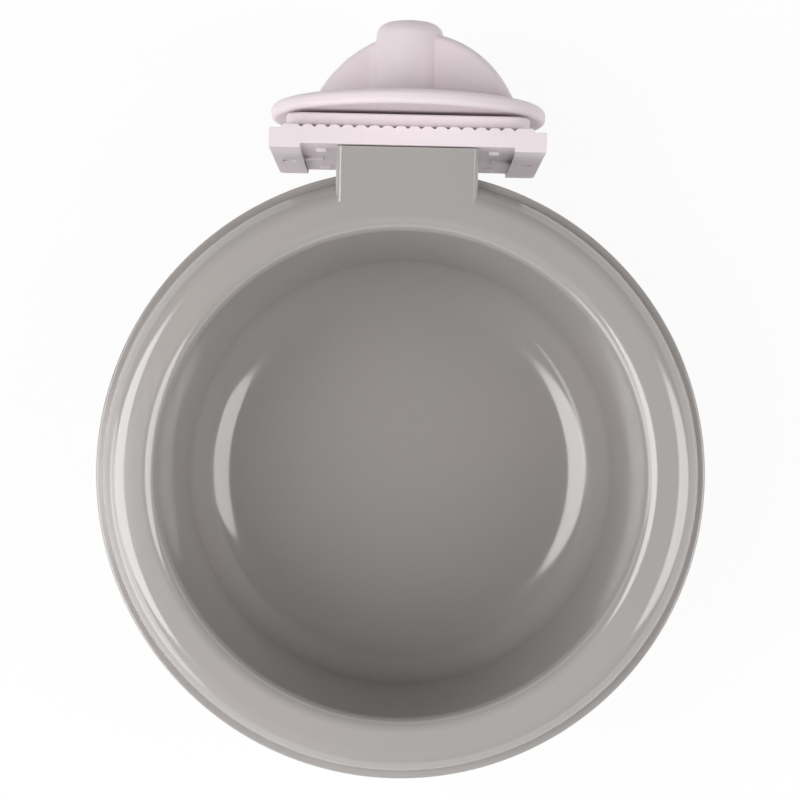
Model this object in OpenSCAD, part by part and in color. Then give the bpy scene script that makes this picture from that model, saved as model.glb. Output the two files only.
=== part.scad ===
// Bowl that hangs on the bars of a crate: a round bowl lifts off a bracket, and a wing knob on a
// bolt draws a jaw plate against the toothed back of that bracket, with the bars between them.
// Millimetres. The origin is the centre of the bowl's foot, +Z is up and +Y points to the clamp.

/* [Bowl] */
// Diameter over the lip of the rim
rim_d = 152.4; // [130:0.2:180]
// Height from the foot to the flat of the rim
bowl_h = 65; // [63:1:80]
// Thickness of the side wall
wall_t = 2.3; // [1.8:0.1:3.5]
// Thickness of the floor
floor_t = 3; // [2:0.1:5]
// Slope of the side wall from upright, in degrees
wall_slope = 4.2; // [2:0.2:14]
// Radius between the floor and the inner wall
floor_round = 13; // [8:0.5:18]
// Radius between the foot and the outer wall
foot_round = 14; // [8:0.5:17]
// Radius of the inner edge of the rim
mouth_round = 3.8; // [1.5:0.1:5]

/* [Rim] */
// Width of the rim from the mouth to the shoulder, before rounding
rim_w = 13.4; // [11:0.1:18]
// Thickness of the rim
rim_t = 2.3; // [1.8:0.1:3]
// Height of the rim from its flat to the underside of the lip
rim_drop = 8.2; // [7.6:0.1:10]
// Radius of the shoulder outside the flat
shoulder_round = 5.8; // [3:0.1:6.4]
// How far the lip stands out from the shoulder
lip_w = 2.1; // [1.5:0.1:3]
// Thickness of the lip
lip_t = 1.6; // [1.3:0.1:2.2]
// Radius of the edges of the lip
lip_round = 0.6; // [0.3:0.1:0.6]

/* [Hanger] */
// Width of the tab that joins the bowl to the bracket
tab_w = 35.2; // [30:0.1:40]
// How far the tab reaches past the lip
tab_reach = 4.7; // [4:0.1:10]
// Thickness of the walls under the tab
hanger_t = 2.4; // [2:0.1:3.2]
// Radius of the long edges of the tab
tab_round = 1.5; // [0.8:0.1:2]
// Height of the walls under the tab, with the tab
hanger_h = 43; // [36:1:50]
// Width of the slot in the back wall of the hanger
slot_w = 15; // [13:0.5:19]

/* [Bracket] */
// Width of the bracket plate
plate_w = 68.6; // [64:0.2:80]
// Height of the bracket plate
plate_h = 54; // [50:0.5:58]
// Thickness of the bracket plate without its teeth
plate_t = 3.8; // [3.5:0.1:6]
// Height of the plate's top edge above the flat of the rim
plate_rise = 1; // [0:0.1:3]
// Radius of the lower corners of the plate
plate_round = 2; // [0.5:0.1:4]
// Width of the raised block along each end of the plate
block_w = 7.7; // [6:0.1:9]
// How far an end block stands out from the front of the plate
block_t = 1.1; // [0.8:0.1:2]
// Width of the pocket in the face of an end block
pocket_w = 3; // [2:0.1:4]
// Height of the pocket in the face of an end block
pocket_h = 3.4; // [2:0.1:5]
// Length of the stiffening ribs that run in from the end blocks
rib_l = 5; // [3:0.1:6]
// Height of the stiffening ribs and of the lugs
rib_h = 1.8; // [1.2:0.1:3]
// How far the ribs and lugs stand out from the front of the plate
rib_t = 0.9; // [0.5:0.1:1.1]
// Width of a lug
lug_w = 2.6; // [2:0.1:4]
// Distance of the lugs above and below the bolt
lug_dz = 17; // [12:0.5:20]

/* [Teeth] */
// Distance from one notch to the next
tooth_pitch = 3.3; // [2.8:0.05:3.4]
// Plain strip left at each end of the back of the plate
teeth_margin = 1.5; // [1:0.1:6]
// Depth of a notch
notch_depth = 0.7; // [0.5:0.1:1.3]
// Height of the toothed pad at the bottom of its notches
pad_t = 0.3; // [0.1:0.1:1]
// Width of the flat on the tip of a tooth
tooth_land = 1.5; // [0.5:0.1:2]
// Width of the flat on the tooth at each end of the row
end_land = 3.5; // [1:0.1:6]

/* [Hanging rail] */
// Height of the rail above the bolt
rail_up = 15; // [12:0.5:17]
// Length of the rail below the bolt
rail_down = 17; // [12:0.5:20]
// Thickness of the head of the rail
rail_head_t = 4; // [3:0.1:6]

/* [Bolt, nut and washer] */
// Diameter of the bolt
bolt_d = 6; // [5:0.5:7]
// Length of the bolt under its head
bolt_l = 35; // [34:1:45]
// Width across the flats of the bolt's head and of the nut
hex_af = 10; // [9:0.5:11]
// Height of the bolt's head
bolt_head_h = 4; // [3:0.1:5]
// Thickness of the nut
nut_t = 5; // [4:0.1:6]
// Outer diameter of the washer
washer_d = 12; // [11:0.5:15]
// Thickness of the washer
washer_t = 1.6; // [1.2:0.1:2.5]
// Depth of the seat for the washer in the front of the knob
washer_sunk = 0.7; // [0.3:0.1:1]
// Chamfer on the front of the bolt's head
head_cut = 0.4; // [0.2:0.1:0.6]
// Chamfer on the tip of the bolt
tip_cut = 0.7; // [0.3:0.1:1]

/* [Jaw plate] */
// Width of the jaw plate
jaw_w = 61; // [50:0.5:68]
// Height of the jaw plate
jaw_h = 46; // [40:0.5:54]
// Thickness of the jaw plate
jaw_t = 3.3; // [2.5:0.1:5]
// Radius of the corners of the jaw plate
jaw_round = 5; // [2:0.5:8]

/* [Knob] */
// Diameter of the knob's flange
flange_d = 70.8; // [64:0.2:72]
// Thickness of the flange at its edge
flange_t = 3.8; // [3.2:0.1:5]
// Radius of the back edge of the flange
flange_round = 1.7; // [0.8:0.1:2.2]
// Radius of the front edge of the flange
edge_round = 0.4; // [0.2:0.1:0.6]
// Thickness of the web inside the flange
web_t = 1.8; // [1.4:0.1:2.4]
// Thickness of the ring around the front of the flange
ring_t = 20; // [4:0.5:24]
// Diameter of the hub
hub_d = 17.3; // [16:0.1:20]
// Thickness of the cap on the end of the hub
cap_t = 2.3; // [1.5:0.1:4]
// Radius of the end of the hub
hub_round = 3.4; // [1:0.1:3.6]
// Radius between the flange and the hub
root_round = 2; // [0.5:0.1:3]
// Distance between the tips of the wings
wing_span = 62; // [48:1:64]
// How far the crest of the wings lies below the end of the hub
wing_drop = 2.3; // [1.5:0.1:6]
// Thickness of a wing
wing_t = 3.4; // [2.4:0.1:6]
// Turn of the wings from level when the clamp is closed
wing_turn = 30; // [0:1:180]
// Number of ribs in the front of the flange
web_rib_count = 8; // [4:1:12]
// Thickness of a rib in the front of the flange
web_rib_t = 1.4; // [1:0.1:2]
// How far the ribs lie behind the front of the flange
web_rib_set = 0.5; // [0.2:0.1:1]

/* [Clearances] */
// Gap around pieces that slide along each other
slide_gap = 0.3; // [0.2:0.05:0.5]
// Gap between the bolt and the bores that it passes through
bore_gap = 0.3; // [0.2:0.05:0.5]
// Gap around the bolt's head and the nut in their pockets
hex_gap = 0.1; // [0.05:0.05:0.2]
// Gap between the thread of the bolt and the nut that runs on it
thread_gap = 0.05; // [0.02:0.01:0.1]
// Gap between the teeth and the jaw plate when the clamp is closed
jaw_gap = 0.2; // [0.1:0.05:0.5]

/* [Hidden] */
$fn = 96;

// Steps along each rounded corner of an outline
arc_steps = 8;
// Spare length of a cutting shape beyond the surface that it opens
over = 1;

bowl_grey = [0.66, 0.65, 0.63];
clamp_white = [0.92, 0.89, 0.90];
zinc = [0.72, 0.73, 0.75];

// Bowl
rim_r = rim_d / 2;
shoulder_r = rim_r - lip_w;
mouth_r = shoulder_r - rim_w;
floor_r = mouth_r - (bowl_h - floor_t) * tan(wall_slope);
lip_top = bowl_h - rim_drop + lip_t;
rim_under = bowl_h - rim_t;
wall_across = wall_t / cos(wall_slope);

// Hanger
tab_end = rim_r + tab_reach;
hanger_inner = tab_end - hanger_t;
hanger_bottom = bowl_h - hanger_h;
hanger_inside_w = tab_w - 2 * hanger_t;

// Bracket and rail
plate_top = bowl_h + plate_rise;
axis_z = plate_top - plate_h / 2;
plate_front = tab_end + slide_gap;
plate_back = plate_front + plate_t;
block_front = plate_front - block_t;
tooth_tip = plate_back + pad_t + notch_depth;
rail_back = hanger_inner - slide_gap;
rail_front = rail_back - rail_head_t;
rail_top = axis_z + rail_up;
rail_bottom = axis_z - rail_down;

// Teeth: as many notches as fit between the plain strips, with a wider tooth at each end
notch_half = (tooth_pitch - tooth_land) / 2;
pad_end_w = notch_half + end_land + notch_depth;
notch_steps = floor((plate_w - 2 * teeth_margin - 2 * pad_end_w) / tooth_pitch);
first_notch = -notch_steps / 2 * tooth_pitch;

// Bolt and what it carries, along the bolt
head_front = rail_front + slide_gap;
bolt_seat = head_front + bolt_head_h;
bolt_tip = bolt_seat + bolt_l;
jaw_front = tooth_tip + jaw_gap;
jaw_back = jaw_front + jaw_t;
washer_back = jaw_back + washer_t;
knob_front = washer_back - washer_sunk;
flange_back = knob_front + flange_t;
nut_front = flange_back;
bore_end = bolt_tip + slide_gap;
hub_end = bore_end + cap_t;
wing_crest = hub_end - wing_drop;
wing_base = flange_back - web_t / 2;
wing_rise = wing_crest - wing_base;
wing_arc_r = (pow(wing_span / 2, 2) + pow(wing_rise, 2)) / (2 * wing_rise);
bore_d = bolt_d + 2 * bore_gap;

// Direction of a vector, with length one
function unit(v) = v / norm(v);

// Points of the arc of radius r that rounds the corner p between a and b
function corner_arc(a, p, b, r) =
    let (
        u = unit(a - p),
        v = unit(b - p),
        half = acos(u * v) / 2,
        centre = p + unit(u + v) * r / sin(half),
        first = p + u * r / tan(half) - centre,
        last = p + v * r / tan(half) - centre,
        start = atan2(first.y, first.x),
        sweep = (atan2(last.y, last.x) - start + 540) % 360 - 180
    )
    [for (i = [0:arc_steps]) let (turn = start + sweep * i / arc_steps) centre + r * [cos(turn), sin(turn)]];

// Closed outline through corners given as [x, y, radius]
function rounded(path) =
    let (n = len(path))
    [
        for (i = [0:n - 1])
            let (a = path[(i + n - 1) % n], p = path[i], b = path[(i + 1) % n])
            each p.z > 0
                ? corner_arc([a.x, a.y], [p.x, p.y], [b.x, b.y], p.z)
                : [[p.x, p.y]]
    ];

// Inner radius of the bowl's wall at a height, before rounding
function wall_r(z) = floor_r + (z - floor_t) * tan(wall_slope);

// Turns a shape that stands on the bolt's axis, drawn along +Z, to point along +Y at distance y
module along_bolt(y) {
    translate([0, y, axis_z]) rotate([-90, 0, 0]) children();
}

// Upright slab from one y to another, drawn as an outline of x and z
module upright(y_from, y_to) {
    translate([0, y_to, 0]) rotate([90, 0, 0]) linear_extrude(y_to - y_from) children();
}

// Block between two corners
module block(low, high) {
    translate(low) cube(high - low);
}

// Six-sided prism by its width across the flats
module hex(af, h) {
    cylinder(d = af / cos(30), h = h, $fn = 6);
}

// Section through one side of the bowl: floor, wall, flat rim, shoulder, lip and foot
module bowl_section() {
    polygon(rounded([
        [0, floor_t, 0],
        [floor_r, floor_t, floor_round],
        [mouth_r, bowl_h, mouth_round],
        [shoulder_r, bowl_h, shoulder_round],
        [shoulder_r, lip_top, 0],
        [rim_r, lip_top, lip_round],
        [rim_r, lip_top - lip_t, lip_round],
        [shoulder_r - rim_t, lip_top - lip_t, 0],
        [shoulder_r - rim_t, rim_under, shoulder_round - rim_t],
        [wall_r(rim_under) + wall_across, rim_under, mouth_round - wall_t],
        [wall_r(0) + wall_across, 0, foot_round],
        [0, 0, 0]
    ]));
}

// Space that the bowl fills behind its hanger, to the middle of its wall and of its rim
module hanger_cut() {
    mid_wall = wall_across / 2;
    rim_mid_r = (wall_r(bowl_h) + shoulder_r) / 2;
    cylinder(h = rim_under, r1 = wall_r(0) + mid_wall, r2 = wall_r(rim_under) + mid_wall);
    translate([0, 0, rim_under]) cylinder(h = rim_t + over, r = rim_mid_r);
}

// Box under the tab, open below, with a slot in its back wall for the neck of the rail
module hanger() {
    half_w = tab_w / 2;
    half_in = hanger_inside_w / 2;
    slot_half = slot_w / 2;
    slot_top = rail_top + slide_gap;
    below = hanger_bottom - over;
    difference() {
        upright(0, tab_end) polygon(rounded([
            [-half_w, hanger_bottom, 0],
            [half_w, hanger_bottom, 0],
            [half_w, bowl_h, tab_round],
            [-half_w, bowl_h, tab_round]
        ]));
        block([-half_in, -over, below], [half_in, hanger_inner, rim_under]);
        block([-slot_half, hanger_inner - over, below], [slot_half, tab_end + over, slot_top]);
        hanger_cut();
    }
}

module bowl() {
    color(bowl_grey) union() {
        rotate_extrude() bowl_section();
        hanger();
    }
}

// Plan of the bracket plate: end blocks in front and notched teeth behind
module plate_plan() {
    half_w = plate_w / 2;
    pad_half = -first_notch + pad_end_w;
    land_end = pad_half - notch_depth;
    polygon(concat(
        [
            [half_w, plate_back],
            [half_w, block_front],
            [half_w - block_w, block_front],
            [half_w - block_w, plate_front],
            [-half_w + block_w, plate_front],
            [-half_w + block_w, block_front],
            [-half_w, block_front],
            [-half_w, plate_back],
            [-pad_half, plate_back],
            [-land_end, tooth_tip]
        ],
        [
            for (i = [0:notch_steps])
                let (x = first_notch + i * tooth_pitch)
                each [[x - notch_half, tooth_tip], [x, plate_back + pad_t], [x + notch_half, tooth_tip]]
        ],
        [[land_end, tooth_tip], [pad_half, plate_back]]
    ));
}

// Bracket plate with its lower corners rounded
module plate() {
    half_w = plate_w / 2;
    bottom = plate_top - plate_h;
    intersection() {
        translate([0, 0, bottom]) linear_extrude(plate_h) plate_plan();
        upright(block_front - over, tooth_tip + over) polygon(rounded([
            [-half_w, bottom, plate_round],
            [half_w, bottom, plate_round],
            [half_w, plate_top, 0],
            [-half_w, plate_top, 0]
        ]));
    }
}

// Rail with a wide head, which the bowl's hanger slides down over
module rail() {
    neck_half = slot_w / 2 - slide_gap;
    head_half = hanger_inside_w / 2 - slide_gap;
    block([-neck_half, rail_front, rail_bottom], [neck_half, plate_front + plate_t / 2, rail_top]);
    block([-head_half, rail_front, rail_bottom], [head_half, rail_back, rail_top]);
}

// Stiffening rib from the end block and the two lugs, on the +X side
module front_ribs() {
    block_inner = plate_w / 2 - block_w;
    rib_end = block_inner - rib_l;
    rib_front = plate_front - rib_t;
    sunk = plate_front + plate_t / 2;
    block([rib_end, rib_front, axis_z - rib_h / 2], [block_inner + over, sunk, axis_z + rib_h / 2]);
    for (dz = [-lug_dz, lug_dz])
        translate([rib_end, 0, axis_z + dz])
            block([-lug_w / 2, rib_front, -rib_h / 2], [lug_w / 2, sunk, rib_h / 2]);
}

// Shallow pocket in the face of the end block, on the +X side
module block_pocket() {
    middle = (plate_w - block_w) / 2;
    block(
        [middle - pocket_w / 2, block_front - over, axis_z - pocket_h / 2],
        [middle + pocket_w / 2, plate_front, axis_z + pocket_h / 2]
    );
}

module bracket() {
    color(clamp_white) difference() {
        union() {
            plate();
            rail();
            for (side = [0, 1]) mirror([side, 0, 0]) front_ribs();
        }
        for (side = [0, 1]) mirror([side, 0, 0]) block_pocket();
        along_bolt(rail_front - over) cylinder(d = bore_d, h = tooth_tip - rail_front + 2 * over);
        along_bolt(rail_front - over) hex(hex_af + 2 * hex_gap, bolt_seat - rail_front + over);
    }
}

// Bolt with a chamfered six-sided head
module clamp_bolt() {
    face_r = hex_af / 2 - head_cut;
    color(zinc) {
        along_bolt(head_front) intersection() {
            hex(hex_af, bolt_head_h);
            cylinder(r1 = face_r, r2 = face_r + bolt_head_h / tan(30), h = bolt_head_h);
        }
        along_bolt(bolt_seat - bolt_head_h / 2) cylinder(d = bolt_d, h = bolt_l + bolt_head_h / 2 - tip_cut);
        along_bolt(bolt_tip - tip_cut) cylinder(d1 = bolt_d, d2 = bolt_d - 2 * tip_cut, h = tip_cut);
    }
}

module jaw_plate() {
    half_w = jaw_w / 2;
    half_h = jaw_h / 2;
    color(clamp_white) difference() {
        translate([0, 0, axis_z]) upright(jaw_front, jaw_back) polygon(rounded([
            [-half_w, -half_h, jaw_round],
            [half_w, -half_h, jaw_round],
            [half_w, half_h, jaw_round],
            [-half_w, half_h, jaw_round]
        ]));
        along_bolt(jaw_front - over) cylinder(d = bore_d, h = jaw_t + 2 * over);
    }
}

module thrust_washer() {
    color(zinc) along_bolt(jaw_back) difference() {
        cylinder(d = washer_d, h = washer_t);
        translate([0, 0, -over]) cylinder(d = bore_d, h = washer_t + 2 * over);
    }
}

// Section through one side of the knob, with the bolt's axis upright: ring, web, boss and hub
module knob_section() {
    flange_r = flange_d / 2;
    hub_r = hub_d / 2;
    hub_h = hub_end - knob_front;
    polygon(rounded([
        [0, 0, 0],
        [hub_r, 0, 0],
        [hub_r, flange_t - web_t, 0],
        [flange_r - ring_t, flange_t - web_t, 0],
        [flange_r - ring_t, 0, 0],
        [flange_r, 0, edge_round],
        [flange_r, flange_t, flange_round],
        [hub_r, flange_t, root_round],
        [hub_r, hub_h, hub_round],
        [0, hub_h, 0]
    ]));
}

// Pair of wings: the top of one disc, whose tips are sunk in the flange
module wings() {
    crest = wing_crest - knob_front;
    rotate([90, 0, 0]) linear_extrude(wing_t, center = true) intersection() {
        translate([0, crest - wing_arc_r]) circle(wing_arc_r);
        translate([-wing_span, wing_base - knob_front]) square([2 * wing_span, crest]);
    }
}

// Ribs that stiffen the web from the front
module web_ribs() {
    half_t = web_rib_t / 2;
    inner = washer_d / 2;
    outer = flange_d / 2 - ring_t / 2;
    sunk = flange_t - web_t / 2;
    for (i = [0:web_rib_count - 1])
        rotate([0, 0, i * 360 / web_rib_count])
            block([inner, -half_t, web_rib_set], [outer, half_t, sunk]);
}

module knob() {
    color(clamp_white) difference() {
        along_bolt(knob_front) rotate([0, 0, -wing_turn]) {
            rotate_extrude() knob_section();
            wings();
            web_ribs();
        }
        along_bolt(knob_front - over) cylinder(d = washer_d + 2 * slide_gap, h = washer_sunk + over);
        along_bolt(knob_front - over) cylinder(d = bore_d, h = bore_end - knob_front + over);
        along_bolt(nut_front) rotate([0, 0, -wing_turn]) hex(hex_af + 2 * hex_gap, nut_t);
    }
}

// Nut held in the pocket of the knob; its bore runs on the bolt
module knob_nut() {
    color(zinc) along_bolt(nut_front) difference() {
        rotate([0, 0, -wing_turn]) hex(hex_af, nut_t);
        translate([0, 0, -over]) cylinder(d = bolt_d + 2 * thread_gap, h = nut_t + 2 * over);
    }
}

bowl();
bracket();
clamp_bolt();
jaw_plate();
thrust_washer();
knob();
knob_nut();
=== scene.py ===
"""Dresses the packed crate bowl: a glossy grey bowl on an off-white screw clamp with zinc-plated hardware."""
import math

import bmesh
import bpy
from bpy.props import FloatProperty, FloatVectorProperty, IntProperty, PointerProperty
from mathutils import Matrix, Vector


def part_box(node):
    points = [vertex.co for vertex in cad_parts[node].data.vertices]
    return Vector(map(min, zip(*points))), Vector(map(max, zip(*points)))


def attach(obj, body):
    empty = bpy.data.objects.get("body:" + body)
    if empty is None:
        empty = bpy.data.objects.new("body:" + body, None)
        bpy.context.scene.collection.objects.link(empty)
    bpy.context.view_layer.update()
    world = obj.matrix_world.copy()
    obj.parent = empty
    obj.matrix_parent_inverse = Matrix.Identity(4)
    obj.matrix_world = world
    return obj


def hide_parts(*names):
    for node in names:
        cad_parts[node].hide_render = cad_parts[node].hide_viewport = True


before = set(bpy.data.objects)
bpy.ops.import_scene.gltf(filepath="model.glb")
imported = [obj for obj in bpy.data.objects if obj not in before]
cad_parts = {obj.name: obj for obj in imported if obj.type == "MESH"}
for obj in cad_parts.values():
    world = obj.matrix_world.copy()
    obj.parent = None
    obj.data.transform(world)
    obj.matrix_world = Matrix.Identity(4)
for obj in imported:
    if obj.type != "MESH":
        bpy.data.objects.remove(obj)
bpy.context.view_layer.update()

bl_info = {
    "name": "Crate Bowl",
    "version": (1, 0, 0),
    "blender": (4, 5, 0),
    "location": "View3D > Sidebar > Crate Bowl",
    "description": "Builds a hanging crate bowl with its screw clamp around a packed model",
    "category": "Add Mesh",
}

MERGE_DISTANCE = 1e-6
KEY_DIGITS = 7

# Steps in the rounded corners and edges, and across the wings and the thread
BOWL_CORNER = 20
TAB_CORNER = 8
KNOB_CORNER = 10
WASHER_CORNER = 3
BRACKET_EDGE = 2
JAW_EDGE = 4
HEAD_EDGE = 2
WING_STEPS_LONG = 96
WING_STEPS_HIGH = 28
THREAD_STEPS = 24

# Boxes of the packed nodes, which give the places and main sizes
BOWL_LOW, BOWL_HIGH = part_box("bowl")
KNOB_LOW, KNOB_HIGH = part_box("knob")
BOLT_LOW, BOLT_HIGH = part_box("clamp_bolt")
WASHER_LOW, WASHER_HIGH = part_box("thrust_washer")
NUT_LOW, NUT_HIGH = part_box("knob_nut")
AXIS_Z = (BOLT_LOW.z + BOLT_HIGH.z) / 2


def length(name, description, default):
    """A size in metres."""
    return FloatProperty(name=name, description=description, default=default, unit="LENGTH", precision=5)


def angle(name, description, default):
    """An angle, given in degrees."""
    return FloatProperty(name=name, description=description, default=math.radians(default), subtype="ANGLE")


def share(name, description, default):
    """A plain number such as a roughness or a strength."""
    return FloatProperty(name=name, description=description, default=default)


def count(name, description, default):
    """A number of steps or segments."""
    return IntProperty(name=name, description=description, default=default, min=1)


def colour(name, description, default):
    """A linear colour without alpha."""
    return FloatVectorProperty(name=name, description=description, default=default, size=3, subtype="COLOR")


class CRATEBOWL_PG_bowl(bpy.types.PropertyGroup):
    """Sizes of the bowl and of the hanger under its tab"""
    rim_radius: length("Rim radius", "Radius over the lip of the rim", -BOWL_LOW.x)
    height: length("Height", "Height from the foot to the flat of the rim", BOWL_HIGH.z)
    rim_width: length("Rim width", "Width of the rim from the mouth to the shoulder", 0.0134)
    wall_slope: angle("Wall slope", "Slope of the wall from upright", 4.2)
    wall: length("Wall", "Thickness of the side wall and of the rim", 0.0023)
    floor: length("Floor", "Thickness of the floor", 0.003)
    floor_round: length("Floor radius", "Radius between the floor and the inner wall", 0.013)
    foot_round: length("Foot radius", "Radius between the foot and the outer wall", 0.014)
    mouth_round: length("Mouth radius", "Radius of the inner edge of the rim", 0.0038)
    shoulder_round: length("Shoulder radius", "Radius outside the flat of the rim", 0.0058)
    rim_drop: length("Rim drop", "Height from the underside of the lip to the flat of the rim", 0.0082)
    lip_width: length("Lip width", "How far the lip stands out from the shoulder", 0.0021)
    lip: length("Lip", "Thickness of the lip", 0.0016)
    lip_round: length("Lip radius", "Radius of the edges of the lip", 0.0006)
    crease_round: length("Crease radius", "Radius of the small inner corners of the rim", 0.0003)
    tab_width: length("Tab width", "Width of the tab behind the bowl", 0.0352)
    tab_end: length("Tab end", "Where the tab ends, along +Y", BOWL_HIGH.y)
    tab_round: length("Tab radius", "Radius of the long edges of the tab", 0.0015)
    tab_sunk: length("Tab step", "How far the tab lies below the flat of the rim", 0.00002)
    hanger: length("Hanger wall", "Thickness of the walls under the tab", 0.0024)
    hanger_height: length("Hanger height", "Height of the walls under the tab, with the tab", 0.043)
    slot_width: length("Slot width", "Width of the slot in the back of the hanger", 0.015)
    slot_top: length("Slot top", "Height of the top of that slot", 0.0543)
    steps: count("Steps", "Steps around the bowl", 192)


class CRATEBOWL_PG_clamp(bpy.types.PropertyGroup):
    """Sizes of the clamp: bracket, jaw plate, knob, bolt and washer"""
    bracket_edge: length("Bracket edge", "Radius of the edges of the bracket", 0.00022)
    jaw_edge: length("Jaw edge", "Radius of the edges of the jaw plate", 0.0007)
    flange_radius: length("Flange radius", "Radius of the knob's flange", KNOB_HIGH.x)
    flange: length("Flange", "Thickness of the flange at its edge", 0.0038)
    flange_round: length("Flange edge", "Radius of the back edge of the flange", 0.0017)
    front_round: length("Flange front edge", "Radius of the front edge of the flange", 0.0014)
    recess_round: length("Recess edges", "Radius of the edges of the recess in the flange", 0.0004)
    web: length("Web", "Thickness of the web inside the flange", 0.0018)
    ring: length("Ring", "Thickness of the ring around the front of the flange", 0.02)
    hub_radius: length("Hub radius", "Radius of the knob's hub", 0.00865)
    hub_round: length("Hub end radius", "Radius of the end of the hub", 0.0034)
    root_round: length("Root radius", "Radius between the flange and the hub", 0.002)
    cap: length("Cap", "Thickness of the cap on the end of the hub", 0.0023)
    bore_radius: length("Bore radius", "Radius of the bore for the bolt", 0.0033)
    seat_gap: length("Seat gap", "Gap around the washer and the nut in their seats", 0.0003)
    wing_span: length("Wing span", "Distance between the tips of the wings", 0.062)
    wing_drop: length("Wing drop", "How far the wings lie below the end of the hub", 0.0023)
    wing: length("Wing", "Thickness of a wing", 0.0034)
    wing_edge: length("Wing edge", "Depth of the rounding along the edge of a wing", 0.0016)
    wing_flare: length("Wing flare", "Radius at the flange and on the crisp side of a wing", 0.0006)
    wing_blend: length("Wing blend", "Radius on the side of a wing that blends into the hub", 0.005)
    hub_overlap: length("Hub overlap", "How far those fillets start inside the hub", 0.0001)
    wing_turn: angle("Wing turn", "Turn of the wings from level", 30)
    rib: length("Rib", "Thickness of a rib in the front of the flange", 0.0014)
    rib_set: length("Rib depth", "How far those ribs lie behind the front", 0.0005)
    ribs: count("Ribs", "Number of ribs in the front of the flange", 8)
    hex_flats: length("Hex flats", "Width across the flats of the bolt's head", 0.01)
    head: length("Head", "Height of the bolt's head", 0.004)
    head_cut: length("Head chamfer", "Chamfer of the bolt's head", 0.0004)
    bolt_radius: length("Bolt radius", "Radius over the thread", 0.003)
    pitch: length("Pitch", "Distance from one turn of the thread to the next", 0.001)
    thread_depth: length("Thread depth", "Depth of the thread", 0.00055)
    washer_edge: length("Washer edge", "Radius of the edges of the washer", 0.0002)
    steps: count("Steps", "Steps around the knob", 128)


class CRATEBOWL_PG_finish(bpy.types.PropertyGroup):
    """Colours and gloss of the three materials"""
    bowl: colour("Bowl", "Colour of the bowl's plastic", (0.395, 0.37, 0.355))
    bowl_gloss: share("Bowl roughness", "Roughness of clean bowl plastic", 0.10)
    bowl_ior: share("Bowl IOR", "Index of refraction of the bowl's glaze-like skin", 1.75)
    clamp: colour("Clamp", "Colour of the clamp's plastic", (0.775, 0.70, 0.73))
    clamp_gloss: share("Clamp roughness", "Roughness of clean clamp plastic", 0.52)
    zinc: colour("Zinc", "Colour of the plated steel", (0.62, 0.64, 0.67))
    zinc_gloss: share("Zinc roughness", "Roughness of the plated steel", 0.28)


class CRATEBOWL_PG_stage(bpy.types.PropertyGroup):
    """Camera, lights and floor"""
    camera_height: length("Camera height", "Height of the camera above the floor", 0.615)
    camera_side: length("Camera side", "How far the camera stands to the right", -0.0003)
    camera_forward: length("Camera place", "How far the camera stands towards the clamp", 0.0085)
    camera_roll: angle("Camera roll", "Turn of the camera about its line of sight", 1.25)
    lens: share("Lens", "Focal length in millimetres", 100.2)
    frame_shift: share("Frame shift", "Shift of the frame, as a share of its height", 0.05)
    light_distance: length("Light distance", "Distance of the soft boxes from the bowl", 0.75)
    sky: share("Sky", "Brightness of the even light all round", 0.08)
    floor_radius: length("Floor radius", "Radius of the floor", 3.0)
    ceiling_height: length("Ceiling height", "Height of the ceiling", 1.6)
    ceiling_radius: length("Ceiling radius", "Radius of the ceiling", 6.0)
    ceiling: colour("Ceiling", "Colour of the ceiling", (0.3, 0.29, 0.28))
    ceiling_gloss: share("Ceiling roughness", "Roughness of the ceiling", 0.9)
    floor: colour("Floor", "Colour of the floor's paper", (0.9, 0.9, 0.9))
    floor_glow: share("Floor glow", "Share of plain white in the floor that the camera sees", 0.92)


SOFT_BOXES = {
    "left": {"turn": 184, "rise": 55, "width": 0.50, "height": 0.62, "radiance": 4.5},
    "right": {"turn": -6, "rise": 44, "width": 0.50, "height": 0.68, "radiance": 3.7},
    "low": {"turn": 200, "rise": 20, "width": 0.80, "height": 0.46, "radiance": 2.3},
    "front": {"turn": 270, "rise": 44, "width": 1.30, "height": 0.70, "radiance": 0.85},
    # A strip that ends below the rim, so that it lights only the outside from behind
    "back": {"turn": 90, "rise": 0, "width": 1.40, "height": 0.055, "radiance": 6.0},
}
# Boxes that only fill the shadows, and that no surface mirrors
FILL_BOXES = ("front", "back")

for side, box in SOFT_BOXES.items():
    label = side.capitalize()
    CRATEBOWL_PG_stage.__annotations__.update({
        f"{side}_turn": angle(f"{label} turn", f"Turn of the {side} box from +X towards +Y", box["turn"]),
        f"{side}_rise": angle(f"{label} rise", f"Height of the {side} box above the horizon", box["rise"]),
        f"{side}_width": length(f"{label} width", f"Width of the {side} box", box["width"]),
        f"{side}_height": length(f"{label} height", f"Height of the {side} box", box["height"]),
        f"{side}_radiance": share(f"{label} radiance", "Brightness, where white paper is 1", box["radiance"]),
    })


# Shaping


def round_corners(bm, corners, closed, segments):
    """A line through (x, z, radius) corners in the XZ plane, with each corner rounded by a vertex bevel."""
    verts = [bm.verts.new((x, 0, z)) for x, z, _ in corners]
    ends = verts[1:] + verts[:1] if closed else verts[1:]
    for first, last in zip(verts, ends):
        bm.edges.new((first, last))
    places = [v.co.copy() for v in verts]
    for i, (_, _, radius) in enumerate(corners):
        if radius > 0:
            to_last = places[i - 1] - places[i]
            to_next = places[(i + 1) % len(places)] - places[i]
            offset = radius / math.tan(to_last.angle(to_next) / 2)
            bmesh.ops.bevel(bm, geom=[verts[i]], offset=offset, offset_type="OFFSET", affect="VERTICES",
                            segments=segments, profile=0.5, material=-1, clamp_overlap=False)


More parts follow.
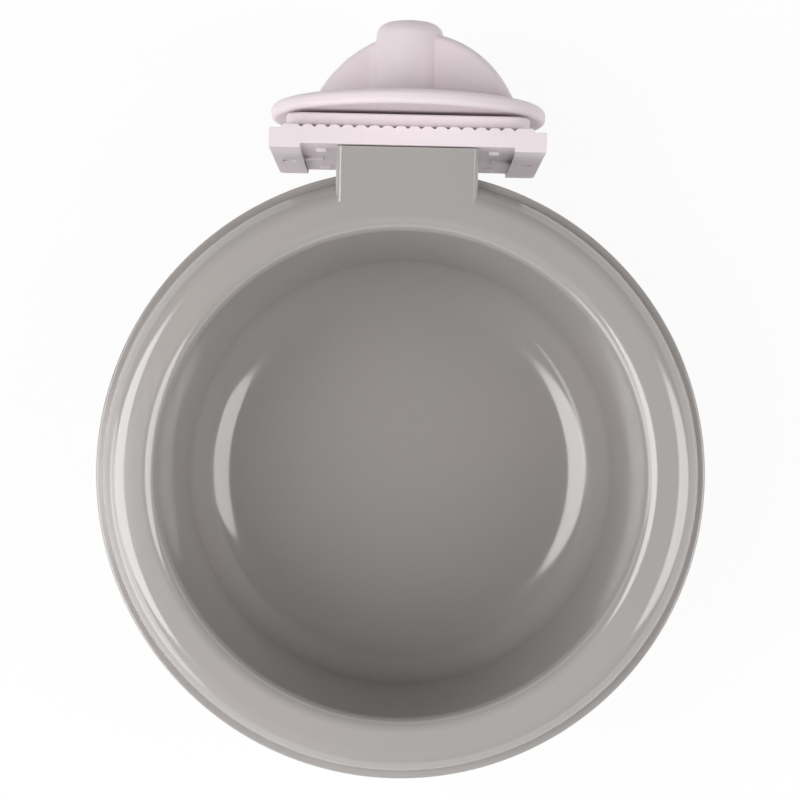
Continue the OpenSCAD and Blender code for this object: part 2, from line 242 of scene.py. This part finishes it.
def lathe(corners, steps, segments, closed=False):
    """A turned solid around Z from a section of (radius, z, corner radius) points."""
    bm = bmesh.new()
    round_corners(bm, corners, closed, segments)
    bmesh.ops.spin(bm, geom=bm.verts[:] + bm.edges[:], cent=(0, 0, 0), axis=(0, 0, 1), angle=math.tau,
                   steps=steps, use_merge=True, use_duplicate=False)
    bmesh.ops.remove_doubles(bm, verts=bm.verts[:], dist=MERGE_DISTANCE)
    bmesh.ops.dissolve_degenerate(bm, edges=bm.edges[:], dist=MERGE_DISTANCE)
    bmesh.ops.recalc_face_normals(bm, faces=bm.faces[:])
    return bm


def slab(corners, y_from, y_to, segments):
    """An upright slab from one y to another, with an outline of (x, z, radius) corners."""
    bm = bmesh.new()
    round_corners(bm, corners, True, segments)
    bmesh.ops.translate(bm, verts=bm.verts[:], vec=(0, y_from, 0))
    face = bmesh.ops.contextual_create(bm, geom=bm.edges[:])["faces"]
    moved = bmesh.ops.extrude_face_region(bm, geom=face)["geom"]
    moved_verts = [g for g in moved if isinstance(g, bmesh.types.BMVert)]
    bmesh.ops.translate(bm, verts=moved_verts, vec=(0, y_to - y_from, 0))
    bmesh.ops.recalc_face_normals(bm, faces=bm.faces[:])
    return bm


def add_block(bm, low, high):
    """Adds a block between two corners and returns its vertices."""
    low, high = Vector(low), Vector(high)
    place = Matrix.Translation((low + high) / 2) @ Matrix.Diagonal((high - low).to_4d())
    return bmesh.ops.create_cube(bm, size=1, matrix=place)["verts"]


def block(low, high):
    """A block between two corners."""
    bm = bmesh.new()
    add_block(bm, low, high)
    return bm


def along_bolt(y):
    """Turns what stands on Z to point along the bolt, from distance y."""
    return Matrix.Translation((0, y, AXIS_Z)) @ Matrix.Rotation(-math.pi / 2, 4, "X")


def shade(bm, sharp_from=32):
    """Smooth faces, with edges over that many degrees kept sharp."""
    limit = math.radians(sharp_from)
    for face in bm.faces:
        face.smooth = True
    for edge in bm.edges:
        edge.smooth = edge.is_manifold and edge.calc_face_angle() < limit


def as_object(name, bm):
    """A new object at the origin that holds the mesh."""
    mesh = bpy.data.meshes.new(name)
    bm.to_mesh(mesh)
    bm.free()
    obj = bpy.data.objects.new(name, mesh)
    bpy.context.scene.collection.objects.link(obj)
    return obj


def combine(obj, tool_bm, operation):
    """Joins a tool shape to the object, or cuts it away."""
    tool = as_object("tool", tool_bm)
    step = obj.modifiers.new("combine", "BOOLEAN")
    step.operation = operation
    step.solver = "EXACT"
    step.object = tool
    graph = bpy.context.evaluated_depsgraph_get()
    old = obj.data
    obj.data = bpy.data.meshes.new_from_object(obj.evaluated_get(graph))
    obj.modifiers.clear()
    bpy.data.meshes.remove(old)
    bpy.data.objects.remove(tool)
    if not obj.data.polygons:
        raise RuntimeError(f"{obj.name}: nothing is left after a {operation.lower()}")


def finish_piece(obj, material, body, slot, *nodes):
    """Shades a piece, and puts it on its body in place of the nodes that it stands for."""
    bm = bmesh.new()
    bm.from_mesh(obj.data)
    bmesh.ops.remove_doubles(bm, verts=bm.verts[:], dist=MERGE_DISTANCE)
    bmesh.ops.dissolve_degenerate(bm, edges=bm.edges[:], dist=MERGE_DISTANCE)
    shade(bm)
    bm.to_mesh(obj.data)
    bm.free()
    obj.data.name = obj.name
    obj.data.materials.clear()
    obj.data.materials.append(material)
    even = obj.modifiers.new("even shading", "WEIGHTED_NORMAL")
    even.mode = "FACE_AREA"
    even.keep_sharp = True
    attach(obj, body)
    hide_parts(*nodes)


def softened_copy(node, name, radius, segments):
    """A copy of a packed node whose real edges are rounded."""
    bm = bmesh.new()
    bm.from_mesh(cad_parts[node].data)
    bmesh.ops.remove_doubles(bm, verts=bm.verts[:], dist=MERGE_DISTANCE)
    bmesh.ops.dissolve_limit(bm, angle_limit=math.radians(1), verts=bm.verts[:], edges=bm.edges[:])
    real = [e for e in bm.edges if e.is_manifold and e.calc_face_angle() > math.radians(25)]
    bmesh.ops.bevel(bm, geom=real, offset=radius, offset_type="OFFSET", affect="EDGES", segments=segments,
                    profile=0.5, material=-1, clamp_overlap=False)
    return as_object(name, bm)


# Materials


def add_node(tree, kind, sockets=None, **settings):
    """Adds a node; a socket takes a value, or a link where it is given another node's output."""
    made = tree.nodes.new(kind)
    for key, value in settings.items():
        setattr(made, key, value)
    for key, value in (sockets or {}).items():
        if isinstance(value, bpy.types.NodeSocket):
            tree.links.new(value, made.inputs[key])
        else:
            made.inputs[key].default_value = value
    return made


def new_group(name, inputs, outputs):
    """An empty node group with float or colour sockets; returns the tree, its input node and output node."""
    tree = bpy.data.node_groups.new(name, "ShaderNodeTree")
    for label, kind in inputs:
        tree.interface.new_socket(label, in_out="INPUT", socket_type=kind)
    for label, kind in outputs:
        tree.interface.new_socket(label, in_out="OUTPUT", socket_type=kind)
    return tree, tree.nodes.new("NodeGroupInput"), tree.nodes.new("NodeGroupOutput")


FLOAT = "NodeSocketFloat"
COLOUR = "NodeSocketColor"


def object_noise(tree, scale, detail, stretch=(1, 1, 1)):
    """Noise over object coordinates, stretched where the scale of an axis differs."""
    coords = add_node(tree, "ShaderNodeTexCoord")
    mapping = add_node(tree, "ShaderNodeMapping", {"Vector": coords.outputs["Object"], "Scale": stretch})
    return add_node(tree, "ShaderNodeTexNoise",
                    {"Vector": mapping.outputs["Vector"], "Scale": scale, "Detail": detail})


def spread(tree, value, low, high, to_low, to_high):
    """Maps a value from one range to another."""
    return add_node(tree, "ShaderNodeMapRange", {
        "Value": value, "From Min": low, "From Max": high, "To Min": to_low, "To Max": to_high,
    }).outputs["Result"]


def tone_drift_group():
    """Slow drift of a colour between two tones, as in moulded plastic or plating."""
    tree, given, made = new_group(
        "tone drift",
        [("Tone", COLOUR), ("Other Tone", COLOUR), ("Scale", FLOAT)],
        [("Color", COLOUR)],
    )
    noise = object_noise(tree, given.outputs["Scale"], 3.0)
    factor = spread(tree, noise.outputs["Fac"], 0.3, 0.7, 0.0, 1.0)
    mixed = add_node(tree, "ShaderNodeMix", {"Factor": factor}, data_type="RGBA")
    tree.links.new(given.outputs["Tone"], mixed.inputs["A"])
    tree.links.new(given.outputs["Other Tone"], mixed.inputs["B"])
    tree.links.new(mixed.outputs["Result"], made.inputs["Color"])
    return tree


def handling_group():
    """Roughness of a handled surface: smudges, and fine rubbed lines across it."""
    tree, given, made = new_group(
        "handling wear",
        [("Clean", FLOAT), ("Smudge", FLOAT), ("Rub", FLOAT)],
        [("Roughness", FLOAT)],
    )
    smudge = spread(tree, object_noise(tree, 55.0, 4.0).outputs["Fac"], 0.42, 0.75, 0.0, 1.0)
    lines = object_noise(tree, 400.0, 2.0, (1.0, 0.06, 0.3))
    rub = spread(tree, lines.outputs["Fac"], 0.58, 0.75, 0.0, 1.0)
    smudged = add_node(tree, "ShaderNodeMath", operation="MULTIPLY_ADD")
    tree.links.new(smudge, smudged.inputs[0])
    tree.links.new(given.outputs["Smudge"], smudged.inputs[1])
    tree.links.new(given.outputs["Clean"], smudged.inputs[2])
    rubbed = add_node(tree, "ShaderNodeMath", operation="MULTIPLY_ADD")
    tree.links.new(rub, rubbed.inputs[0])
    tree.links.new(given.outputs["Rub"], rubbed.inputs[1])
    tree.links.new(smudged.outputs["Value"], rubbed.inputs[2])
    tree.links.new(rubbed.outputs["Value"], made.inputs["Roughness"])
    return tree


def mould_skin_group():
    """Height of a moulded skin: slow waves from cooling, with a fine grain on them."""
    tree, given, made = new_group(
        "mould skin",
        [("Wave", FLOAT), ("Grain", FLOAT), ("Grain Scale", FLOAT)],
        [("Height", FLOAT)],
    )
    wave = object_noise(tree, 30.0, 1.0)
    grain = object_noise(tree, given.outputs["Grain Scale"], 2.0)
    waved = add_node(tree, "ShaderNodeMath", operation="MULTIPLY")
    tree.links.new(wave.outputs["Fac"], waved.inputs[0])
    tree.links.new(given.outputs["Wave"], waved.inputs[1])
    height = add_node(tree, "ShaderNodeMath", operation="MULTIPLY_ADD")
    tree.links.new(grain.outputs["Fac"], height.inputs[0])
    tree.links.new(given.outputs["Grain"], height.inputs[1])
    tree.links.new(waved.outputs["Value"], height.inputs[2])
    tree.links.new(height.outputs["Value"], made.inputs["Height"])
    return tree


def shared_group(name, build):
    """The node group of that name, built the first time that it is asked for."""
    return bpy.data.node_groups.get(name) or build()


def toned(tone, factor):
    """A colour times a factor, with alpha."""
    return (*(min(1.0, c * f) for c, f in zip(tone, factor)), 1.0)


def surface(name, tone, drift, drift_scale, wear, skin, metallic=0.0, ior=1.5):
    """A material made of the three shared groups: tone drift, handling wear and mould skin."""
    material = bpy.data.materials.get(name)
    if material:
        return material
    material = bpy.data.materials.new(name)
    material.use_nodes = True
    tree = material.node_tree
    shader = tree.nodes["Principled BSDF"]
    shader.inputs["Metallic"].default_value = metallic
    shader.inputs["IOR"].default_value = ior
    tones = add_node(tree, "ShaderNodeGroup", node_tree=shared_group("tone drift", tone_drift_group))
    tones.inputs["Tone"].default_value = toned(tone, (1, 1, 1))
    tones.inputs["Other Tone"].default_value = toned(tone, drift)
    tones.inputs["Scale"].default_value = drift_scale
    handled = add_node(tree, "ShaderNodeGroup", node_tree=shared_group("handling wear", handling_group))
    skinned = add_node(tree, "ShaderNodeGroup", node_tree=shared_group("mould skin", mould_skin_group))
    for label, value in wear.items():
        handled.inputs[label].default_value = value
    for label, value in skin.items():
        skinned.inputs[label].default_value = value
    bump = add_node(tree, "ShaderNodeBump", {"Height": skinned.outputs["Height"], "Distance": 0.001})
    tree.links.new(tones.outputs["Color"], shader.inputs["Base Color"])
    tree.links.new(handled.outputs["Roughness"], shader.inputs["Roughness"])
    tree.links.new(bump.outputs["Normal"], shader.inputs["Normal"])
    return material


def bowl_plastic(finish):
    """Glossy warm grey plastic with slow cooling waves and light smudges."""
    return surface(
        "bowl plastic", finish.bowl, (0.93, 0.95, 0.97), 14.0,
        {"Clean": finish.bowl_gloss, "Smudge": 0.06, "Rub": 0.05},
        {"Wave": 0.10, "Grain": 0.002, "Grain Scale": 1500.0},
        ior=finish.bowl_ior,
    )


def clamp_plastic(finish):
    """Satin off-white plastic with a fine eroded grain."""
    return surface(
        "clamp plastic", finish.clamp, (0.97, 0.95, 0.965), 35.0,
        {"Clean": finish.clamp_gloss, "Smudge": 0.10, "Rub": 0.06},
        {"Wave": 0.08, "Grain": 0.03, "Grain Scale": 1800.0},
    )


def zinc_steel(finish):
    """Zinc-plated steel with a mottled tone and drawn lines."""
    return surface(
        "zinc steel", finish.zinc, (0.80, 0.83, 0.88), 260.0,
        {"Clean": finish.zinc_gloss, "Smudge": 0.12, "Rub": 0.15},
        {"Wave": 0.02, "Grain": 0.02, "Grain Scale": 2500.0},
        metallic=1.0,
    )


# Pieces


def bowl_section(size):
    """Corners of the bowl's section, from the middle of the floor round to the middle of the foot."""
    shoulder = size.rim_radius - size.lip_width
    mouth = shoulder - size.rim_width
    slope = math.tan(size.wall_slope)
    across = size.wall / math.cos(size.wall_slope)
    under = size.height - size.wall
    lip_low = size.height - size.rim_drop
    lip_high = lip_low + size.lip
    crease = size.crease_round

    def wall_at(z):
        return mouth - (size.height - z) * slope

    return [
        (0, size.floor, 0),
        (wall_at(size.floor), size.floor, size.floor_round),
        (mouth, size.height, size.mouth_round),
        (shoulder, size.height, size.shoulder_round),
        (shoulder, lip_high, crease),
        (size.rim_radius, lip_high, size.lip_round),
        (size.rim_radius, lip_low, size.lip_round),
        (shoulder - size.wall, lip_low, crease),
        (shoulder - size.wall, under, size.shoulder_round - size.wall),
        (wall_at(under) + across, under, size.mouth_round - size.wall),
        (wall_at(0) + across, 0, size.foot_round),
        (0, 0, 0),
    ]


def hanger_core(size):
    """The space inside the middle of the bowl's wall and rim, which the hanger doesn't reach into."""
    shoulder = size.rim_radius - size.lip_width
    mouth = shoulder - size.rim_width
    slope = math.tan(size.wall_slope)
    middle = size.wall / math.cos(size.wall_slope) / 2
    under = size.height - size.wall
    spare = size.wall
    rim_middle = (mouth + shoulder) / 2
    return lathe([
        (0, 0, 0),
        (mouth - size.height * slope + middle, 0, 0),
        (mouth - size.wall * slope + middle, under, 0),
        (rim_middle, under, 0),
        (rim_middle, size.height + spare, 0),
        (0, size.height + spare, 0),
    ], size.steps, 1)


def make_hanger(size):
    """The tab with the box under it, which is open below and slotted behind."""
    half = size.tab_width / 2
    inside = half - size.hanger
    low = size.height - size.hanger_height
    high = size.height - size.tab_sunk
    under = size.height - size.wall
    back = size.tab_end - size.hanger
    spare = size.hanger / 2
    slot = size.slot_width / 2
    hanger = as_object("hanger", slab([
        (-half, low, 0),
        (half, low, 0),
        (half, high, size.tab_round),
        (-half, high, size.tab_round),
    ], 0, size.tab_end, TAB_CORNER))
    combine(hanger, block((-inside, -spare, low - spare), (inside, back, under)), "DIFFERENCE")
    combine(hanger, block((-slot, back - spare, low - spare), (slot, size.tab_end + spare, size.slot_top)),
            "DIFFERENCE")
    combine(hanger, hanger_core(size), "DIFFERENCE")
    return hanger


class CRATEBOWL_OT_bowl(bpy.types.Operator):
    """Turns the bowl and joins its hanger to it"""
    bl_idname = "crate_bowl.make_bowl"
    bl_label = "Bowl"

    def execute(self, context):
        size = context.scene.crate_bowl
        bowl = as_object("bowl_shell", lathe(bowl_section(size), size.steps, BOWL_CORNER))
        hanger = make_hanger(size)
        joined = bmesh.new()
        joined.from_mesh(hanger.data)
        bpy.data.objects.remove(hanger)
        combine(bowl, joined, "UNION")
        finish_piece(bowl, bowl_plastic(context.scene.crate_bowl_finish), "bowl", "bowl_plastic", "bowl")
        return {"FINISHED"}


class CRATEBOWL_OT_bracket(bpy.types.Operator):
    """Rounds the edges of the toothed bracket"""
    bl_idname = "crate_bowl.make_bracket"
    bl_label = "Bracket"

    def execute(self, context):
        size = context.scene.crate_bowl_clamp
        bracket = softened_copy("bracket", "toothed_bracket", size.bracket_edge, BRACKET_EDGE)
        finish_piece(bracket, clamp_plastic(context.scene.crate_bowl_finish), "bracket", "clamp_plastic",
                     "bracket")
        return {"FINISHED"}


class CRATEBOWL_OT_jaw(bpy.types.Operator):
    """Rounds the edges of the jaw plate"""
    bl_idname = "crate_bowl.make_jaw"
    bl_label = "Jaw plate"

    def execute(self, context):
        size = context.scene.crate_bowl_clamp
        jaw = softened_copy("jaw_plate", "jaw_bar", size.jaw_edge, JAW_EDGE)
        finish_piece(jaw, clamp_plastic(context.scene.crate_bowl_finish), "jaw", "clamp_plastic", "jaw_plate")
        return {"FINISHED"}


def knob_section(size):
    """Corners of the knob's section with the bolt's axis upright and the front of the flange at zero."""
    front = KNOB_LOW.y
    end = KNOB_HIGH.y - front
    seat_depth = WASHER_HIGH.y - front
    seat = WASHER_HIGH.x + size.seat_gap
    web_front = size.flange - size.web
    ring = size.flange_radius - size.ring
    nut = NUT_HIGH.x + size.seat_gap
    nut_from = NUT_LOW.y - front
    nut_to = NUT_HIGH.y - front
    edge = size.recess_round
    return [
        (0, end, 0),
        (size.hub_radius, end, size.hub_round),
        (size.hub_radius, size.flange, size.root_round),
        (size.flange_radius, size.flange, size.flange_round),
        (size.flange_radius, 0, size.front_round),
        (ring, 0, edge),
        (ring, web_front, edge),
        (size.hub_radius, web_front, edge),
        (size.hub_radius, 0, edge),
        (seat, 0, 0),
        (seat, seat_depth, 0),
        (size.bore_radius, seat_depth, 0),
        (size.bore_radius, nut_from, 0),
        (nut, nut_from, 0),
        (nut, nut_to, 0),
        (size.bore_radius, nut_to, 0),
        (size.bore_radius, end - size.cap, 0),
        (0, end - size.cap, 0),
    ]


def fillet(distance, radius):
    """How far a fillet of that radius stands out at a distance from the surface that it grows from."""
    if distance >= radius:
        return 0.0
    inside = radius - max(0.0, distance)
    return radius - math.sqrt(radius * radius - inside * inside)


def hub_blend(x, size, radius):
    """How far a fillet from the hub stands out from the face of a wing, at a distance x from the axis."""
    hub = size.hub_radius - size.hub_overlap
    middle = math.sqrt((hub + radius) ** 2 - (size.wing / 2 + radius) ** 2)
    start = middle * hub / (hub + radius)
    place = min(max(x, start), middle)
    return radius - math.sqrt(radius ** 2 - (middle - place) ** 2)


def wing_faces(x, z, depth, size):
    """How far the front and the back of the wings lie from their middle plane, at a depth below the edge."""
    edge = min(1.0, depth / size.wing_edge)
    rounded = size.wing / 2 * math.sqrt(max(0.0, 1 - (1 - edge) ** 2))
    root = fillet(z - size.flange, size.wing_flare)
    soft = rounded + edge * (root + hub_blend(abs(x), size, size.wing_blend))
    crisp = rounded + edge * (root + hub_blend(abs(x), size, size.wing_flare))
    return (soft, crisp) if x < 0 else (crisp, soft)


def make_wings(size):
    """Both wings as one blade: a slice of a disc with a round edge, flared towards the hub and the flange."""
    half_span = size.wing_span / 2
    crest = KNOB_HIGH.y - KNOB_LOW.y - size.wing_drop
    sunk = size.flange - size.web / 2
    rise = crest - sunk
    arc = (half_span ** 2 + rise ** 2) / (2 * rise)
    bm = bmesh.new()
    bmesh.ops.create_grid(bm, x_segments=WING_STEPS_LONG, y_segments=WING_STEPS_HIGH, size=1)
    widths = {}
    for vert in bm.verts:
        x = math.sin(vert.co.x * math.pi / 2) * half_span
        top = crest - arc + math.sqrt(arc * arc - x * x)
        z = sunk + math.sin((vert.co.y + 1) * math.pi / 4) * (top - sunk)
        depth = max(0.0, arc - math.hypot(x, z - crest + arc))
        vert.co = (x, 0, z)
        widths[vert.co.to_tuple(KEY_DIGITS)] = wing_faces(x, z, depth, size)
    front = bm.verts[:]
    moved = bmesh.ops.extrude_face_region(bm, geom=bm.faces[:])["geom"]
    back = [g for g in moved if isinstance(g, bmesh.types.BMVert)]
    for vert in back:
        vert.co.y = widths[vert.co.to_tuple(KEY_DIGITS)][1]
    for vert in front:
        vert.co.y = -widths[vert.co.to_tuple(KEY_DIGITS)][0]
    bmesh.ops.remove_doubles(bm, verts=bm.verts[:], dist=MERGE_DISTANCE)
    bmesh.ops.recalc_face_normals(bm, faces=bm.faces[:])
    return bm


def make_ribs(size):
    """Spokes that stiffen the web from the front."""
    bm = bmesh.new()
    half = size.rib / 2
    outer = size.flange_radius - size.ring / 2
    top = size.flange - size.web / 2
    for i in range(size.ribs):
        verts = add_block(bm, (WASHER_HIGH.x + size.seat_gap * 2, -half, size.rib_set), (outer, half, top))
        turn = Matrix.Rotation(i * math.tau / size.ribs, 3, "Z")
        bmesh.ops.rotate(bm, verts=verts, cent=(0, 0, 0), matrix=turn)
    return bm


class CRATEBOWL_OT_knob(bpy.types.Operator):
    """Turns the knob and joins its wings and ribs to it"""
    bl_idname = "crate_bowl.make_knob"
    bl_label = "Wing knob"

    def execute(self, context):
        size = context.scene.crate_bowl_clamp
        knob = as_object("wing_knob", lathe(knob_section(size), size.steps, KNOB_CORNER))
        combine(knob, make_wings(size), "UNION")
        combine(knob, make_ribs(size), "UNION")
        knob.data.transform(along_bolt(KNOB_LOW.y) @ Matrix.Rotation(-size.wing_turn, 4, "Z"))
        finish_piece(knob, clamp_plastic(context.scene.crate_bowl_finish), "knob", "clamp_plastic", "knob")
        return {"FINISHED"}


def make_thread(size):
    """The bolt's shank with the thread cut as one helix, which starts one turn inside the head."""
    root = size.bolt_radius - size.thread_depth
    flat = size.pitch / 8
    crest = size.pitch / 2
    points = [
        (root, 0),
        (root, flat),
        (size.bolt_radius, crest - flat / 2),
        (size.bolt_radius, crest + flat / 2),
        (root, size.pitch),
    ]
    bm = bmesh.new()
    verts = [bm.verts.new((r, 0, z)) for r, z in points]
    for first, last in zip(verts, verts[1:]):
        bm.edges.new((first, last))
    shank = BOLT_HIGH.y - BOLT_LOW.y - size.head
    turns = round(shank / size.pitch)
    bmesh.ops.spin(bm, geom=bm.verts[:] + bm.edges[:], cent=(0, 0, 0), axis=(0, 0, 1),
                   dvec=(0, 0, size.pitch / THREAD_STEPS), angle=math.tau * turns,
                   steps=THREAD_STEPS * turns, use_merge=False, use_duplicate=False)
    bmesh.ops.remove_doubles(bm, verts=bm.verts[:], dist=MERGE_DISTANCE)
    loose = [e for e in bm.edges if e.is_boundary]
    bmesh.ops.holes_fill(bm, edges=loose, sides=0)
    bmesh.ops.recalc_face_normals(bm, faces=bm.faces[:])
    bmesh.ops.translate(bm, verts=bm.verts[:], vec=(0, 0, size.head - size.pitch))
    return bm


def add_head(bm, size):
    """Adds the bolt's six-sided head around the foot of the thread, chamfered underneath."""
    corner = size.hex_flats / 2 / math.cos(math.pi / 6)
    middle = Matrix.Translation((0, 0, size.head / 2)) @ Matrix.Rotation(math.pi / 6, 4, "Z")
    bmesh.ops.create_cone(bm, cap_ends=True, segments=6, radius1=corner, radius2=corner,
                          depth=size.head, matrix=middle)
    outer = [e for e in bm.edges if all(v.co.z < size.head / 2 for v in e.verts)]
    bmesh.ops.bevel(bm, geom=outer, offset=size.head_cut, offset_type="OFFSET", affect="EDGES",
                    segments=HEAD_EDGE, profile=0.5, material=-1)


class CRATEBOWL_OT_bolt(bpy.types.Operator):
    """Makes the bolt from its thread and its head"""
    bl_idname = "crate_bowl.make_bolt"
    bl_label = "Bolt"

    def execute(self, context):
        size = context.scene.crate_bowl_clamp
        bm = make_thread(size)
        add_head(bm, size)
        bolt = as_object("threaded_bolt", bm)
        bolt.data.transform(along_bolt(BOLT_LOW.y))
        finish_piece(bolt, zinc_steel(context.scene.crate_bowl_finish), "bracket", "zinc_steel", "clamp_bolt")
        return {"FINISHED"}


class CRATEBOWL_OT_hardware(bpy.types.Operator):
    """Turns the washer, and plates the nut that is moulded into the knob"""
    bl_idname = "crate_bowl.make_hardware"
    bl_label = "Washer and nut"

    def execute(self, context):
        size = context.scene.crate_bowl_clamp
        zinc = zinc_steel(context.scene.crate_bowl_finish)
        thick = WASHER_HIGH.y - WASHER_LOW.y
        edge = size.washer_edge
        washer = as_object("washer", lathe([
            (size.bore_radius, 0, edge),
            (WASHER_HIGH.x, 0, edge),
            (WASHER_HIGH.x, thick, edge),
            (size.bore_radius, thick, edge),
        ], size.steps // 2, WASHER_CORNER, closed=True))
        washer.data.transform(along_bolt(WASHER_LOW.y))
        finish_piece(washer, zinc, "jaw", "zinc_steel", "thrust_washer")
        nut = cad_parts["knob_nut"].data
        nut.materials.clear()
        nut.materials.append(zinc)
        return {"FINISHED"}


# Stage


def seen_directly(tree):
    """One for rays from the camera, and for those that a mirror or glass sends on; zero for the others."""
    path = add_node(tree, "ShaderNodeLightPath")
    mirrored = add_node(tree, "ShaderNodeMath", {0: path.outputs["Is Glossy Ray"],
                                                 1: path.outputs["Is Transmission Ray"]}, operation="MAXIMUM")
    return add_node(tree, "ShaderNodeMath", {0: path.outputs["Is Camera Ray"], 1: mirrored.outputs["Value"]},
                    operation="MAXIMUM").outputs["Value"]


def make_floor(stage):
    """Pale floor that the camera sees as white, with the object's shadow still on it."""
    bm = bmesh.new()
    bmesh.ops.create_circle(bm, cap_ends=True, segments=96, radius=stage.floor_radius)
    floor = as_object("floor", bm)
    material = bpy.data.materials.new("floor white")
    material.use_nodes = True
    tree = material.node_tree
    tree.nodes.clear()
    paper = add_node(tree, "ShaderNodeBsdfDiffuse", {"Color": (*stage.floor, 1)})
    white = add_node(tree, "ShaderNodeEmission", {"Color": (1, 1, 1, 1), "Strength": 1.0})
    glow = add_node(tree, "ShaderNodeMath", {0: seen_directly(tree), 1: stage.floor_glow},
                    operation="MULTIPLY")
    mix = add_node(tree, "ShaderNodeMixShader", {0: glow.outputs["Value"]})
    tree.links.new(paper.outputs["BSDF"], mix.inputs[1])
    tree.links.new(white.outputs["Emission"], mix.inputs[2])
    out = add_node(tree, "ShaderNodeOutputMaterial")
    tree.links.new(mix.outputs["Shader"], out.inputs["Surface"])
    floor.data.materials.append(material)


def make_ceiling(stage):
    """Grey ceiling over the camera, so that the bowl mirrors something quiet between the soft boxes."""
    bm = bmesh.new()
    bmesh.ops.create_circle(bm, cap_ends=True, segments=96, radius=stage.ceiling_radius,
                            matrix=Matrix.Translation((0, 0, stage.ceiling_height)))
    ceiling = as_object("ceiling", bm)
    material = bpy.data.materials.new("ceiling grey")
    material.use_nodes = True
    shader = material.node_tree.nodes["Principled BSDF"]
    shader.inputs["Base Color"].default_value = (*stage.ceiling, 1)
    shader.inputs["Roughness"].default_value = stage.ceiling_gloss
    ceiling.data.materials.append(material)


def make_soft_box(stage, side):
    """An oval soft box at the side of that name, aimed at the middle of the bowl."""
    turn, rise, width, height, radiance = (
        getattr(stage, f"{side}_{key}") for key in ("turn", "rise", "width", "height", "radiance"))
    aim = Vector((0, 0, BOWL_HIGH.z / 2))
    out = Vector((math.cos(turn) * math.cos(rise), math.sin(turn) * math.cos(rise), math.sin(rise)))
    lamp = bpy.data.lights.new(f"{side} soft box", "AREA")
    lamp.shape = "ELLIPSE"
    lamp.size = width
    lamp.size_y = height
    lamp.energy = radiance * math.pi * (math.pi / 4 * width * height)
    obj = bpy.data.objects.new(lamp.name, lamp)
    obj.location = aim + out * stage.light_distance
    obj.rotation_euler = (-out).to_track_quat("-Z", "Y").to_euler()
    obj.visible_camera = False
    obj.visible_glossy = side not in FILL_BOXES
    bpy.context.scene.collection.objects.link(obj)


def make_sky(stage):
    """Even light all round, seen as white by the camera and in mirrors."""
    world = bpy.data.worlds.new("studio")
    bpy.context.scene.world = world
    world.use_nodes = True
    tree = world.node_tree
    tree.nodes.clear()
    strength = spread(tree, seen_directly(tree), 0.0, 1.0, stage.sky, 1.0)
    sky = add_node(tree, "ShaderNodeBackground", {"Color": (1, 1, 1, 1), "Strength": strength})
    out = add_node(tree, "ShaderNodeOutputWorld")
    tree.links.new(sky.outputs["Background"], out.inputs["Surface"])


def make_camera(stage):
    """Camera that looks straight down from above the bowl."""
    camera = bpy.data.objects.new("camera", bpy.data.cameras.new("camera"))
    camera.data.sensor_width = 36
    camera.data.lens = stage.lens
    camera.data.shift_y = stage.frame_shift
    camera.location = (stage.camera_side, stage.camera_forward, stage.camera_height)
    camera.rotation_euler = (0, 0, stage.camera_roll)
    bpy.context.scene.collection.objects.link(camera)
    bpy.context.scene.camera = camera


class CRATEBOWL_OT_stage(bpy.types.Operator):
    """Lays the floor and sets the lights and the camera"""
    bl_idname = "crate_bowl.make_stage"
    bl_label = "Stage"

    def execute(self, context):
        stage = context.scene.crate_bowl_stage
        make_floor(stage)
        make_ceiling(stage)
        for side in SOFT_BOXES:
            make_soft_box(stage, side)
        make_sky(stage)
        make_camera(stage)
        context.scene.view_settings.view_transform = "Standard"
        return {"FINISHED"}


PROPERTIES = {
    "crate_bowl": CRATEBOWL_PG_bowl,
    "crate_bowl_clamp": CRATEBOWL_PG_clamp,
    "crate_bowl_finish": CRATEBOWL_PG_finish,
    "crate_bowl_stage": CRATEBOWL_PG_stage,
}

OPERATORS = (
    CRATEBOWL_OT_bowl,
    CRATEBOWL_OT_bracket,
    CRATEBOWL_OT_jaw,
    CRATEBOWL_OT_knob,
    CRATEBOWL_OT_bolt,
    CRATEBOWL_OT_hardware,
    CRATEBOWL_OT_stage,
)


class CRATEBOWL_PT_panel(bpy.types.Panel):
    """Lists the pieces of the crate bowl and their sizes"""
    bl_idname = "CRATEBOWL_PT_panel"
    bl_label = "Crate Bowl"
    bl_space_type = "VIEW_3D"
    bl_region_type = "UI"
    bl_category = "Crate Bowl"

    def draw(self, context):
        for operator in OPERATORS:
            self.layout.operator(operator.bl_idname)
        for name, group in PROPERTIES.items():
            box = self.layout.box()
            box.label(text=group.__doc__)
            for key in group.__annotations__:
                box.prop(getattr(context.scene, name), key)


def register():
    """Registers the classes and hangs the settings on the scene."""
    for name, group in PROPERTIES.items():
        bpy.utils.register_class(group)
        setattr(bpy.types.Scene, name, PointerProperty(type=group))
    for operator in OPERATORS:
        bpy.utils.register_class(operator)
    bpy.utils.register_class(CRATEBOWL_PT_panel)


def unregister():
    """Takes the settings and the classes away again."""
    bpy.utils.unregister_class(CRATEBOWL_PT_panel)
    for operator in reversed(OPERATORS):
        bpy.utils.unregister_class(operator)
    for name, group in PROPERTIES.items():
        delattr(bpy.types.Scene, name)
        bpy.utils.unregister_class(group)


def main():
    """Builds every piece and the stage."""
    register()
    bpy.ops.crate_bowl.make_bowl()
    bpy.ops.crate_bowl.make_bracket()
    bpy.ops.crate_bowl.make_jaw()
    bpy.ops.crate_bowl.make_knob()
    bpy.ops.crate_bowl.make_bolt()
    bpy.ops.crate_bowl.make_hardware()
    bpy.ops.crate_bowl.make_stage()


if __name__ == "__main__":
    main()
